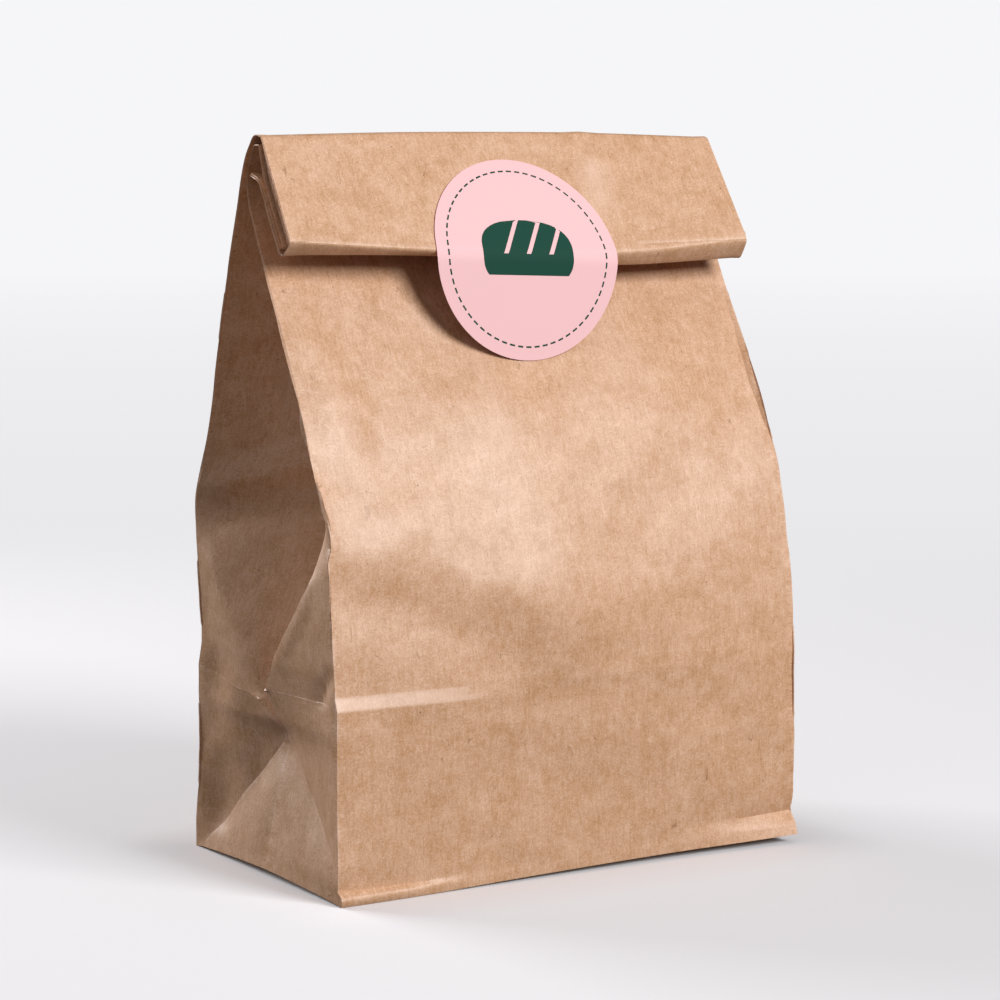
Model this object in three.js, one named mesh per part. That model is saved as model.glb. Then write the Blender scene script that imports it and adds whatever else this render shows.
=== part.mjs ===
// A small brown kraft paper bag, standing shut.
//
// It is a block-bottom sleeve of thin paper with a tucked-in gusset down each side. The top
// is pressed flat and rolled forward twice, and a round sticker holds the roll down. Nobody can
// see into it, so it is one solid out to the paper, and the sticker is the other one.
//
// Millimetres, +Z up. The front, with the sticker, faces -Y. The origin is the middle of the base.

import * as THREE from "three";

// ---- Driving sizes ----------------------------------------------------------------------

const FACE_WIDTH = 152; // across the front and the back
const HALF_WIDTH = FACE_WIDTH / 2;
const HALF_GUSSET = 45.5; // on the paper, from a side's edge to its middle fold

// The base and the pre-folded crease that runs round the bag above it.
const BASE_LIP = 44.3; // the glued hem at the foot of the front and back stands out this far
const CREASE_HEIGHT = 54;
const APEX_HEIGHT = 38.5; // where the two diagonal creases of a side meet
const APEX_DEPTH = 7.5; // how far that point is pushed in
const CREASE_SAG = 1.5; // the crease is this much lower at the middle of a side
const TUCK_SLOPE = 0.58; // above the crease the middle fold leans in by this much per mm

// Side view of the front and the back, foot to neck: [height, y]. Straight stretches between.
const FRONT_EDGE = [
  [0, -BASE_LIP], [3, -43.2], [6, -40.9], [CREASE_HEIGHT, -43.1], [102, -35.8],
  [126, -27.6], [168, -2.9], [187, 7.2], [193.6, 8.7],
];
const BACK_EDGE = [
  [0, BASE_LIP], [6, 44.1], [24, 42.2], [CREASE_HEIGHT, 41.7], [72, 41.2],
  [102, 42.7], [114, 36.9], [126, 32.1], [150, 26.2], [171, 19.5], [187, 13.9], [193.6, 12],
];
const BELLY = 1.2; // the faces belly out this far at their middle
const NOTCH = { height: 63, halfHeight: 9, depth: 2.8, reach: 50 }; // dent in the back left edge
const NECK_HEIGHT = 187; // here the sides' tucks are pressed shut
const NECK_TOP = 193.6; // here the roll starts

// Heights of the rings of points that make the body, closer together where it bends.
const BODY_LEVELS = [
  0, 3, 6, 14, 24, 32, APEX_HEIGHT, 46, CREASE_HEIGHT, 58, 62, 67, 72, 82, 92, 102, 108, 114,
  126, 138, 150, 160, 168, 178, NECK_HEIGHT, NECK_TOP,
];

// The roll in four places across the bag, as side views of [y, z] points: the flat ridge, the
// foot of the flap that hangs in front, the heel of its second fold, and the mouth end of the
// paper, which is tucked up behind the flap. Between the side tucks the flap has half the
// layers, so it is thinner there.
const ROLL_SECTIONS = [
  { x: -HALF_WIDTH, ridgeBack: [4.3, 206], ridgeFront: [-0.4, 206], foot: [-17.1, 177.5],
    heel: [-11.7, 173.3], tuckFoot: [-10.3, 175.3], tuckTop: [1.3, 193.9] },
  { x: -30, ridgeBack: [6, 207.3], ridgeFront: [1.6, 207.3], foot: [-17, 174.3],
    heel: [-14.4, 172.9], tuckFoot: [-12.4, 174.9], tuckTop: [1.6, 194.4] },
  { x: 30, ridgeBack: [6.8, 207.3], ridgeFront: [2.6, 207.3], foot: [-17.2, 171.9],
    heel: [-13.4, 167.8], tuckFoot: [-11.6, 170.4], tuckTop: [1.7, 194] },
  { x: HALF_WIDTH, ridgeBack: [8, 205.8], ridgeFront: [3.3, 205.8], foot: [-17.5, 175.8],
    heel: [-13.7, 169.7], tuckFoot: [-11.5, 172], tuckTop: [1.5, 193] },
];
const TUCK_END = [7.1, 195.8]; // the mouth's edge touches the neck here
const SHOULDER = [8.3, 201]; // the back of the neck, just under the ridge
const END_RECESS = 2.4; // the middle layers of the roll lie this far inside its ends

// The sticker.
const STICKER_DIAMETER = 60;
const STICKER_THICKNESS = 0.4;
const STICKER_GAP = 0.3; // between the sticker and the paper under it
const STICKER_BEND_RADIUS = 4; // where it leaves the flap
const STICKER_HALF_SPAN = 30; // the foot of the flap is straight between plus and minus this x

// How finely the shapes are divided.
const FACE_STEPS = 14; // across the front and the back
const STICKER_ROWS = 20;
const STICKER_COLUMNS = 12;

// ---- Colours from the photograph ----------------------------------------------------------

const KRAFT = new THREE.MeshStandardMaterial({ color: 0xd2a580, roughness: 0.7, metalness: 0 });
const PINK_PAPER = new THREE.MeshStandardMaterial({ color: 0xf8cccd, roughness: 0.5, metalness: 0 });

// ---- Small helpers --------------------------------------------------------------------------

const mix = THREE.MathUtils.lerp;
const clamp = THREE.MathUtils.clamp;

// The value of a table of [key, value] rows at a key, on straight lines between the rows.
function along(table, key) {
  const found = table.findIndex(([k]) => k >= key);
  const upper = found < 0 ? table.length - 1 : Math.max(found, 1);
  const [k0, v0] = table[upper - 1];
  const [k1, v1] = table[upper];
  return mix(v0, v1, clamp((key - k0) / (k1 - k0), 0, 1));
}

// A side-view point of the roll, [y, z], at a place across the bag.
function rollPoint(name, x) {
  const y = along(ROLL_SECTIONS.map((section) => [section.x, section[name][0]]), x);
  const z = along(ROLL_SECTIONS.map((section) => [section.x, section[name][1]]), x);
  return [y, z];
}

function mixPoint([y0, z0], [y1, z1], share) {
  return [mix(y0, y1, share), mix(z0, z1, share)];
}

// ---- The body: one ring of points for each level ----------------------------------------------

// How much of the faces' belly there is, 0 at their edges and 1 in the middle.
function crown(x) {
  return 1 - (x / HALF_WIDTH) ** 2;
}

// How much the faces belly at a height: nothing at the hem and the neck.
function bellyAt(z) {
  return BELLY * Math.sin(Math.PI * clamp(z / NECK_HEIGHT, 0, 1));
}

function frontY(x, z) {
  return along(FRONT_EDGE, z) - bellyAt(z) * crown(x);
}

// How deep the dent is: full at the back left edge, gone above, below and further along.
function notchAt(x, z) {
  const byHeight = Math.max(0, 1 - Math.abs(z - NOTCH.height) / NOTCH.halfHeight);
  const byPlace = Math.max(0, 1 - (x + HALF_WIDTH) / NOTCH.reach);
  return NOTCH.depth * byHeight * byPlace;
}

function backY(x, z) {
  return along(BACK_EDGE, z) + bellyAt(z) * crown(x) - notchAt(x, z);
}

// How far the middle fold of a side lies in from the side's edges.
function middleDepth(z) {
  if (z <= APEX_HEIGHT) return APEX_DEPTH * z / APEX_HEIGHT;
  if (z <= CREASE_HEIGHT) return APEX_DEPTH * (CREASE_HEIGHT - z) / (CREASE_HEIGHT - APEX_HEIGHT);
  if (z >= NECK_TOP) return END_RECESS;
  const halfGap = (along(BACK_EDGE, z) - along(FRONT_EDGE, z)) / 2;
  const taut = Math.sqrt(HALF_GUSSET ** 2 - halfGap ** 2);
  return Math.min(taut, TUCK_SLOPE * (z - CREASE_HEIGHT));
}

// Where the diagonal crease crosses a level, as a share of the side's depth from its edge.
function diagonalShare(z) {
  if (z <= CREASE_HEIGHT) return clamp(0.5 * z / APEX_HEIGHT, 0.04, 0.46);
  return 0.25;
}

// The points of one side between its front edge and its back edge: [share, inward depth].
function sideProfile(z) {
  const share = diagonalShare(z);
  const middle = middleDepth(z);
  const onDiagonal = z <= APEX_HEIGHT ? middle : middle * share / 0.5;
  const half = [
    [share / 2, onDiagonal / 2],
    [share, onDiagonal],
    [(share + 0.5) / 2, (onDiagonal + middle) / 2],
  ];
  const mirrored = half.map(([s, depth]) => [1 - s, depth]).reverse();
  return [...half, [0.5, middle], ...mirrored];
}

const SIDE_POINTS = sideProfile(0).length;
const FACE_X = Array.from(
  { length: FACE_STEPS + 1 },
  (_, i) => mix(-HALF_WIDTH, HALF_WIDTH, i / FACE_STEPS),
);

// A ring from its front row and back row of [y, z] by x, and the profile of its two ends.
// It runs front left to front right, round the right end, along the back and round the left.
function makeRing(front, back, ends, sag = 0) {
  const frontRow = FACE_X.map((x) => new THREE.Vector3(x, ...front(x)));
  const backRow = FACE_X.map((x) => new THREE.Vector3(x, ...back(x)));
  const endPoints = (x) => ends.map(([share, depth]) => {
    const [y, z] = mixPoint(front(x), back(x), share);
    const drop = sag * (1 - Math.abs(2 * share - 1));
    return new THREE.Vector3(x - Math.sign(x) * depth, y, z - drop);
  });
  return [
    ...frontRow,
    ...endPoints(HALF_WIDTH),
    ...backRow.reverse(),
    ...endPoints(-HALF_WIDTH).reverse(),
  ];
}

function bodyRing(z) {
  const sag = z === CREASE_HEIGHT ? CREASE_SAG : 0;
  return makeRing((x) => [frontY(x, z), z], (x) => [backY(x, z), z], sideProfile(z), sag);
}

// ---- The roll: rings that turn over the ridge and run down the flap ------------------------------

function rollRings() {
  const ends = sideProfile(NECK_TOP);
  const tuckEnd = () => TUCK_END;
  const shoulder = () => SHOULDER;
  const ridgeBack = (x) => rollPoint("ridgeBack", x);
  const ridgeFront = (x) => rollPoint("ridgeFront", x);
  const tuckTop = (x) => rollPoint("tuckTop", x);
  const tuckFoot = (x) => rollPoint("tuckFoot", x);
  const foot = (x) => rollPoint("foot", x);
  const heel = (x) => rollPoint("heel", x);
  const between = (a, b, share) => (x) => mixPoint(a(x), b(x), share);
  return [
    makeRing(tuckEnd, shoulder, ends),
    makeRing(between(tuckEnd, tuckTop, 0.35), ridgeBack, ends),
    makeRing(between(tuckEnd, tuckTop, 0.7), ridgeFront, ends),
    makeRing(tuckTop, between(ridgeFront, foot, 0.3), ends),
    makeRing(between(tuckTop, tuckFoot, 0.5), between(ridgeFront, foot, 0.65), ends),
    makeRing(tuckFoot, foot, ends),
    makeRing(between(tuckFoot, heel, 0.7), between(foot, heel, 0.85), ends),
  ];
}

// ---- A closed solid through a stack of rings -----------------------------------------------------

// The points down the middle of a ring, one for each inner x, for closing it off.
function middleLine(ring) {
  const backStart = FACE_STEPS + 1 + SIDE_POINTS;
  const backOf = (i) => ring[backStart + FACE_STEPS - i];
  return FACE_X.slice(1, -1).map((_, i) => ring[i + 1].clone().lerp(backOf(i + 1), 0.5));
}

function solidThrough(rings) {
  const size = rings[0].length;
  const positions = rings.flat().flatMap((point) => point.toArray());
  const triangles = [];
  const addTriangle = (a, b, c, flip) => triangles.push(...(flip ? [a, c, b] : [a, b, c]));

  for (let level = 0; level + 1 < rings.length; level += 1) {
    for (let i = 0; i < size; i += 1) {
      const low = level * size + i;
      const nextLow = level * size + (i + 1) % size;
      addTriangle(low, nextLow, nextLow + size, false);
      addTriangle(low, nextLow + size, low + size, false);
    }
  }

  // Close an end ring with strips to the points down its middle, and a fan at each side.
  const closeRing = (level, flip) => {
    const start = level * size;
    const middle = positions.length / 3;
    positions.push(...middleLine(rings[level]).flatMap((point) => point.toArray()));
    const frontAt = (i) => start + i;
    const backAt = (i) => start + FACE_STEPS + 1 + SIDE_POINTS + (FACE_STEPS - i);
    const middleAt = (i) => middle + i - 1;
    for (let i = 1; i < FACE_STEPS - 1; i += 1) {
      addTriangle(frontAt(i), frontAt(i + 1), middleAt(i + 1), flip);
      addTriangle(frontAt(i), middleAt(i + 1), middleAt(i), flip);
      addTriangle(middleAt(i), middleAt(i + 1), backAt(i + 1), flip);
      addTriangle(middleAt(i), backAt(i + 1), backAt(i), flip);
    }
    const fan = (first, count, centre) => {
      for (let i = 0; i < count; i += 1) {
        addTriangle(centre, start + (first + i) % size, start + (first + i + 1) % size, flip);
      }
    };
    fan(FACE_STEPS - 1, SIDE_POINTS + 3, middleAt(FACE_STEPS - 1));
    fan(size - SIDE_POINTS - 2, SIDE_POINTS + 3, middleAt(1));
  };
  closeRing(0, true);
  closeRing(rings.length - 1, false);

  const geometry = new THREE.BufferGeometry();
  geometry.setAttribute("position", new THREE.Float32BufferAttribute(positions, 3));
  geometry.setIndex(triangles);
  geometry.computeVertexNormals();
  return geometry;
}

// ---- The sticker: a disc bent once, along the foot of the flap ------------------------------------

function stickerGeometry() {
  const radius = STICKER_DIAMETER / 2;
  const pointAt = (x, [y, z]) => new THREE.Vector3(x, y, z);
  const footLeft = pointAt(-STICKER_HALF_SPAN, rollPoint("foot", -STICKER_HALF_SPAN));
  const footRight = pointAt(STICKER_HALF_SPAN, rollPoint("foot", STICKER_HALF_SPAN));
  const bend = footLeft.clone().lerp(footRight, 0.5);
  const across = footRight.clone().sub(footLeft).normalize();

  // The stuck half runs up the flap; the free half hangs to the front of the bag below.
  const contactZ = bend.z - radius + 1;
  const contact = new THREE.Vector3(0, frontY(0, contactZ) - STICKER_GAP, contactZ);
  const straightTo = (target) => {
    const way = target.clone().sub(bend);
    return way.addScaledVector(across, -way.dot(across)).normalize();
  };
  const up = straightTo(pointAt(0, rollPoint("ridgeFront", 0)));
  const down = straightTo(contact);
  const outOfFlap = across.clone().cross(up).normalize();
  const bendAngle = Math.PI - up.angleTo(down);
  const halfArc = STICKER_BEND_RADIUS * bendAngle / 2;

  // The middle of the sheet at a distance up (plus) or down (minus) from the bend.
  const alongSheet = (distance) => {
    const turned = clamp(halfArc - distance, 0, 2 * halfArc) / STICKER_BEND_RADIUS;
    const straightUp = Math.max(distance - halfArc, 0);
    const straightDown = Math.max(-distance - halfArc, 0);
    const step = STICKER_BEND_RADIUS * Math.sin(turned);
    const fall = STICKER_BEND_RADIUS * (1 - Math.cos(turned));
    const point = bend.clone().addScaledVector(up, halfArc + straightUp - step);
    point.addScaledVector(outOfFlap, -fall);
    const normal = outOfFlap.clone().applyAxisAngle(across, turned);
    return { point: point.addScaledVector(down, straightDown), normal };
  };

  const sheets = [STICKER_GAP, STICKER_GAP + STICKER_THICKNESS].map((lift) => {
    const rows = [];
    for (let row = 1; row < STICKER_ROWS; row += 1) {
      const distance = radius * Math.cos(Math.PI * row / STICKER_ROWS);
      const halfChord = Math.sqrt(radius ** 2 - distance ** 2);
      const { point, normal } = alongSheet(distance);
      rows.push(Array.from({ length: STICKER_COLUMNS + 1 }, (_, i) => {
        const side = halfChord * (2 * i / STICKER_COLUMNS - 1);
        return point.clone().addScaledVector(across, side).addScaledVector(normal, lift);
      }));
    }
    return rows;
  });

  const width = STICKER_COLUMNS + 1;
  const rowCount = STICKER_ROWS - 1;
  const positions = sheets.flat(2).flatMap((point) => point.toArray());
  const triangles = [];
  const at = (sheet, row, column) => (sheet * rowCount + row) * width + column;
  const addQuad = (a, b, c, d) => triangles.push(a, b, c, a, c, d);
  for (let row = 0; row + 1 < rowCount; row += 1) {
    for (let column = 0; column < STICKER_COLUMNS; column += 1) {
      const next = column + 1;
      addQuad(at(1, row, column), at(1, row + 1, column), at(1, row + 1, next), at(1, row, next));
      addQuad(at(0, row, column), at(0, row, next), at(0, row + 1, next), at(0, row + 1, column));
    }
    const last = width - 1;
    addQuad(at(0, row, 0), at(0, row + 1, 0), at(1, row + 1, 0), at(1, row, 0));
    addQuad(at(1, row, last), at(1, row + 1, last), at(0, row + 1, last), at(0, row, last));
  }
  for (let column = 0; column < STICKER_COLUMNS; column += 1) {
    const end = rowCount - 1;
    addQuad(at(0, 0, column), at(1, 0, column), at(1, 0, column + 1), at(0, 0, column + 1));
    addQuad(at(0, end, column), at(0, end, column + 1), at(1, end, column + 1), at(1, end, column));
  }

  const geometry = new THREE.BufferGeometry();
  geometry.setAttribute("position", new THREE.Float32BufferAttribute(positions, 3));
  geometry.setIndex(triangles);
  geometry.computeVertexNormals();
  return geometry;
}

// ---- The object ---------------------------------------------------------------------------------

const bag = new THREE.Mesh(solidThrough([...BODY_LEVELS.map(bodyRing), ...rollRings()]), KRAFT);
bag.name = "paper_bag";

const sticker = new THREE.Mesh(stickerGeometry(), PINK_PAPER);
sticker.name = "closure_sticker";

const object = new THREE.Group();
object.add(bag, sticker);

export default object;
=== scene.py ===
# A small brown kraft paper bag with its top rolled shut and held by a round pink sticker.
#
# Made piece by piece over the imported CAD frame: the sleeve, its glued lap, its layers in the roll, the
# pasted bottom, the sticker and what is printed on it. Sizes are millimetres, turned to metres where a
# mesh is made. +Z is up, and the front of the bag, with the sticker, faces -Y.

import math
from functools import partial

import bpy
import numpy as np
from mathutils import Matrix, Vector, noise


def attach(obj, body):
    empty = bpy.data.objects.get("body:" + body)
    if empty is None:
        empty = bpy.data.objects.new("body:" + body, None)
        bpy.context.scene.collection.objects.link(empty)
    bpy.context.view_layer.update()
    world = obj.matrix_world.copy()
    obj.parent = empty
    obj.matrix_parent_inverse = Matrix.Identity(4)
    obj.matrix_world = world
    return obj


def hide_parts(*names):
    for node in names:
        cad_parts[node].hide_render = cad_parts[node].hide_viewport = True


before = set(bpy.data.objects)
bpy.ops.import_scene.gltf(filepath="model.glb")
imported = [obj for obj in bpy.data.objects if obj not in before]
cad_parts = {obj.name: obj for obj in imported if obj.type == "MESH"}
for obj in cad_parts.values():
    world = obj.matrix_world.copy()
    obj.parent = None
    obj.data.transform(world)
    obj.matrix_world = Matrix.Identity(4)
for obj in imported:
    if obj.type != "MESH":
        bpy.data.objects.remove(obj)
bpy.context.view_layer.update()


# ---- The camera ----
# It stands to the left of the bag's front and a little above it, as the photograph's did. Its place
# was worked out from the bag's own corners and creases.

MM = 0.001
PICTURE_WIDTH = 1000.0  # pixels
FOCAL_LENGTH = 3100.0  # pixels
SENSOR = 36.0
SIGHT = 20  # metres
CAMERA_TURN = math.radians(-31.652)
CAMERA_TILT = math.radians(6.588)
CAMERA_DISTANCE = 909.149
AIM_RIGHT = 0.886
AIM_UP = 100.824

camera_back = Vector((
    math.sin(CAMERA_TURN) * math.cos(CAMERA_TILT),
    -math.cos(CAMERA_TURN) * math.cos(CAMERA_TILT),
    math.sin(CAMERA_TILT),
))
camera_right = Vector((math.cos(CAMERA_TURN), math.sin(CAMERA_TURN), 0))
camera_up = camera_back.cross(camera_right)
camera_place = camera_back * CAMERA_DISTANCE + camera_right * AIM_RIGHT + camera_up * AIM_UP

camera = bpy.data.objects.new("camera", bpy.data.cameras.new("camera"))
camera.data.sensor_width = SENSOR
camera.data.lens = FOCAL_LENGTH / PICTURE_WIDTH * SENSOR
camera.data.clip_end = SIGHT
camera.location = camera_place * MM
camera.rotation_euler = camera_back.to_track_quat("Z", "Y").to_euler()
bpy.context.scene.collection.objects.link(camera)
bpy.context.scene.camera = camera
bpy.context.scene.view_settings.view_transform = "Standard"


# ---- The sleeve ----
# One web of brown kraft paper, glued into a tube with a gusset folded in down each side. The foot is
# folded square, the mouth is pressed flat and rolled forward twice. The mesh is a net of rings and
# columns that follow the folds, smoothed, then dented and crumpled panel by panel.

HALF_WIDTH = 76.0
HALF_GUSSET = 45.5  # on the paper, from a side's edge to its middle fold
GUSSET = 2 * HALF_GUSSET
CREASE = 54.0  # height of the pre-folded crease round the bag
APEX = 40.0  # up the paper, where the two diagonal creases of a side meet
RIDGE_TOP = 99.0  # where the ridges of a side reach its edges
NECK = 187.0
NECK_TOP = 193.6
SUPPORT = 0.8  # columns and rows this near a fold keep it crisp
PAPER = 0.22  # thickness

# Side view of the back, foot to neck, as [height, y].
BACK_EDGE = [
    [0, 44.3], [6, 44.1], [24, 42.2], [CREASE, 41.7], [72, 41.2], [102, 42.7], [114, 36.9],
    [126, 32.1], [150, 26.2], [171, 19.5], [NECK, 13.9], [NECK_TOP, 12],
]
# The front in three side views, at its left edge, its middle and its right edge. Above the crease it
# bends back at the bag's shoulder, which is lower in the middle, so the bend runs in a wide V.
# The pre-folded crease is a flattened band there.
BAND_FOOT = 53.1
BAND_TOP = 56.4
FRONT_X_PLACES = [-76, 0, 76]
FRONT_HEIGHTS = [
    [0, 6, 20, BAND_FOOT, BAND_TOP, 72, 99, 109, 115, 130, 168, NECK, NECK_TOP],
    [0, 6, 20, BAND_FOOT, BAND_TOP, 62, 70, 92, 112, 130, 168, NECK, NECK_TOP],
    [0, 6, 20, BAND_FOOT, BAND_TOP, 80, 104, 114, 122, 130, 168, NECK, NECK_TOP],
]
FRONT_DEPTHS = [
    [-42.9, -42.9, -41.8, -42.2, -41.2, -39.7, -36.9, -34.3, -30.0, -24.1, -3.3, 7.2, 8.7],
    [-42.9, -43.0, -43.2, -44.2, -44.6, -45.2, -45.9, -40.5, -33.6, -25.2, -4.1, 7.2, 8.7],
    [-42.9, -42.7, -42.5, -43.1, -43.0, -40.2, -35.4, -32.2, -29.2, -25.9, -2.9, 7.2, 8.7],
]
# The hem along the foot of the front, by height: a narrow roll at its left end, a flare at its right.
LEFT_HEM = [[0, 0.9], [1.2, 1.4], [2.7, 1.2], [3.7, -1.0], [5.5, -0.9], [10, -0.3], [16, 0]]
LEFT_HEM_SHARE = [[-76, 1], [-52, 0.8], [-43, 0.05], [76, 0]]
RIGHT_HEM = [[0, 1.9], [3.7, 1.0], [7.5, -1.5], [10, -0.8], [17, 0]]
RIGHT_HEM_SHARE = [[-76, 0], [44, 0], [62, 0.75], [76, 1.1]]
FRONT_ROUND = [[100, 0], [130, 1.2], [165, 0.6], [NECK, 0]]  # how far its middle stands out, by height
BELLY = 1.2  # how far the middle of the back stands out
# The back's left edge is nicked a little above the crease.
NOTCH = {"height": 63, "half": 9, "depth": 2.8, "reach": 50}

BODY_LEVELS = [
    0, 1.2, 2.7, 3.7, 5.5, 7.5, 10, 16, 24, 32, APEX, 43.4, 47, 51, BAND_FOOT,
    CREASE, BAND_TOP, 59, 62, 68, 74, 82, 90, RIDGE_TOP,
    104, 110, 115, 122, 130, 140, 150, 160, 168, 175, 181, NECK, NECK_TOP,
]


def along(table, key):
    keys, values = zip(*table)
    return float(np.interp(key, keys, values))


def mix(a, b, share):
    return tuple(p + (q - p) * share for p, q in zip(a, b))


def crown(x):
    return 1 - (x / HALF_WIDTH) ** 2


def front_at(x, z):
    heights = [np.interp(x, FRONT_X_PLACES, row) for row in zip(*FRONT_HEIGHTS)]
    depths = [np.interp(x, FRONT_X_PLACES, row) for row in zip(*FRONT_DEPTHS)]
    hem = along(LEFT_HEM, z) * along(LEFT_HEM_SHARE, x) + along(RIGHT_HEM, z) * along(RIGHT_HEM_SHARE, x)
    return (float(np.interp(z, heights, depths)) - hem - crown(x) * along(FRONT_ROUND, z), z)


def back_at(x, z):
    belly = BELLY * math.sin(math.pi * min(max(z / NECK, 0), 1)) * crown(x)
    by_height = max(0, 1 - abs(z - NOTCH["height"]) / NOTCH["half"])
    by_place = max(0, 1 - (x + HALF_WIDTH) / NOTCH["reach"])
    return (along(BACK_EDGE, z) + belly - NOTCH["depth"] * by_height * by_place, z)


# The folds of a side, foot to shoulder. Each point: how far up the paper it lies, its place on the
# paper measured from the side's front edge, its depth in from the side's plane, y and height.
FRONT_FOLD = [
    [7, 0, 0, -42.9, 7], [APEX, 45.2, 7.5, 0.4, 39], [43.4, 44.6, 5.5, -1.0, 42],
    [CREASE, 44, 0, 1.7, 52.5], [RIDGE_TOP, 0, 0, -36.9, RIDGE_TOP],
]
BACK_FOLD = [
    [0, 87.5, 0, 40.8, 0], [APEX, 45.8, 7.5, 0.8, 39], [43.4, 46.6, 5.2, 0.4, 42.3],
    [CREASE, 55.8, 1, 7.7, 48.8], [62, 58.5, 2, 10, 56.7], [69.7, 66, 1, 17.7, 64.4],
    [86, 79, 0, 30.2, 81.6], [RIDGE_TOP, GUSSET, 0, 42.5, 97],
]
MIDDLE_FOLD = [
    [0, HALF_GUSSET, 0.1, 0.6, 0], [16, HALF_GUSSET, 3, 1.3, 15.4], [APEX, HALF_GUSSET, 7.6, 0.6, 39],
    [43.4, HALF_GUSSET, 5.9, -0.4, 42.1],
]
MIDDLE_PLACE = [[43.4, HALF_GUSSET], [CREASE, 49.5], [75, HALF_GUSSET]]
LEAST_FOLD_COLUMN = [[0, 5], [60, 8], [92, 8], [112, 16]]  # a fold's columns keep this far from an edge
NUDGE = 1e-4  # keeps the points of a row in order where folds meet


def fold_point(table, up):
    return np.array([along([[row[0], row[k]] for row in table], up) for k in range(1, 5)])


def fold_row(sign, up):
    """A row across a side, as points where it meets the folds: (place on the paper, depth, y, z)."""
    front_edge = np.array([0, 0, *front_at(sign * HALF_WIDTH, up)])
    back_edge = np.array([GUSSET, 0, *back_at(sign * HALF_WIDTH, up)])
    front = front_edge if up < FRONT_FOLD[0][0] or up >= RIDGE_TOP else fold_point(FRONT_FOLD, up)
    back = back_edge if up >= RIDGE_TOP else fold_point(BACK_FOLD, up)
    if up <= MIDDLE_FOLD[-1][0]:
        return [front_edge, front, fold_point(MIDDLE_FOLD, up), back, back_edge]
    # Above the apex the paper between the two ridges hangs in a taut V.
    place = along(MIDDLE_PLACE, up)
    near, far = place - front[0], back[0] - place
    gap = back[2] - front[2]
    foot = min(max((near ** 2 - far ** 2 + gap ** 2) / (2 * gap), 0), near)
    depth = math.sqrt(near ** 2 - foot ** 2)
    lip = front[1:] + (back[1:] - front[1:]) * foot / gap
    middle = np.array([place, lip[0] + depth, lip[1], lip[2]])
    return [front_edge, front, middle, back, back_edge]


def column_places(row, up):
    """Where the columns of a side lie on the paper, from its front edge to its back edge."""
    front, middle, back = row[1][0], row[2][0], row[3][0]
    least = along(LEAST_FOLD_COLUMN, up)
    front = min(max(front, least), middle - 0.5)
    back = max(min(back, GUSSET - least), middle + 0.5)
    near_front = min(SUPPORT, (middle - front) / 3)
    near_back = min(SUPPORT, (back - middle) / 3)
    rest = GUSSET - back
    return [
        SUPPORT, front * 0.33, front * 0.67, front, (front + middle) / 2, middle - near_front, middle,
        middle + near_back, (back + middle) / 2, back, back + rest * 0.33, back + rest * 0.67,
        GUSSET - SUPPORT,
    ]


def row_table(sign, up):
    row = np.array(fold_row(sign, up))
    row[:, 0] += np.arange(5) * NUDGE
    return row


def on_row(row, places):
    """The depth, y and height of places on the paper, along a row."""
    return [np.interp(places, row[:, 0], row[:, k]) for k in (1, 2, 3)]


def side_points(sign, up):
    """The points between a side's front edge and its back edge, and their places on the paper."""
    row = row_table(sign, up)
    places = column_places(row, up)
    depths, ys, zs = on_row(row, places)
    return [(sign * (HALF_WIDTH - depth), y, z) for depth, y, z in zip(depths, ys, zs)], places


FRONT_X = [-76, -75.2, -69, -58, -46, -34, -22, -8, 8, 24, 40, 54, 68, 75.2, 76]
BACK_X = [76, 75.2, 60, 30, 0, -30, -60, -75.2, -76]
SIDE_COUNT = 13
LAP_COLUMN = 9  # the sleeve's net starts and ends in the right gusset, behind its middle fold
# Where the panels start round the flat pattern, which runs from the back's right edge.
LEFT_START = 2 * HALF_WIDTH
FRONT_START = LEFT_START + GUSSET
RIGHT_START = FRONT_START + 2 * HALF_WIDTH


def net_ring(front, back, right, left):
    """One ring of points round the sleeve: right gusset, back, left side, front, right gusset."""
    front_row = [(x, *front(x)) for x in FRONT_X]
    back_row = [(x, *back(x)) for x in BACK_X]
    return right[LAP_COLUMN:] + back_row + left[::-1] + front_row + right[:LAP_COLUMN]


def ring_places(right, left):
    """How far round the flat pattern each point of a ring lies."""
    return (
        [place - GUSSET for place in right[LAP_COLUMN:]] + [HALF_WIDTH - x for x in BACK_X]
        + [FRONT_START - place for place in left[::-1]]
        + [FRONT_START + HALF_WIDTH + x for x in FRONT_X]
        + [RIGHT_START + place for place in right[:LAP_COLUMN + 1]]
    )


def body_ring(up):
    right, right_places = side_points(1, up)
    left, left_places = side_points(-1, up)
    ring = net_ring(lambda x: front_at(x, up), lambda x: back_at(x, up), right, left)
    return ring, ring_places(right_places, left_places)


# The roll in four places across the bag, as side views of (y, z): the paper's outside runs from the
# ridge down the flap to its foot and heel, then up behind the flap to the mouth.
ROLL_X = [-76, -30, 30, 76]
ROLL = {
    "ridge_back": [(4.3, 206.2), (6, 207.2), (6.8, 207.2), (8, 205.8)],
    "ridge_front": [(-0.4, 206), (1.6, 207.2), (2.6, 207.2), (3.3, 205.8)],
    "foot": [(-17.1, 177.5), (-17, 174.3), (-17.2, 171.9), (-17.5, 175.8)],
    "heel": [(-11.7, 173.3), (-14.4, 172.9), (-13.4, 167.8), (-13.7, 169.7)],
    "tuck_foot": [(-10.3, 175.3), (-12.4, 174.9), (-11.6, 170.4), (-11.5, 172)],
    "tuck_top": [(1.3, 193.9), (1.6, 194.4), (1.7, 194), (1.5, 193)],
}
MOUTH = (6.6, 195.4)
INNER_MOUTH = (5.8, 195.9)
INNER_FLAP = 0.62  # the front panel lies this far from the flap towards the tuck
INNER_TUCK = 0.86
INNER_START = (1.4, -2.4)  # from the ridge to where the front panel starts down the flap
PAIRED_FROM = 0.4  # share of the flap's length from which the tuck lies behind it
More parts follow.
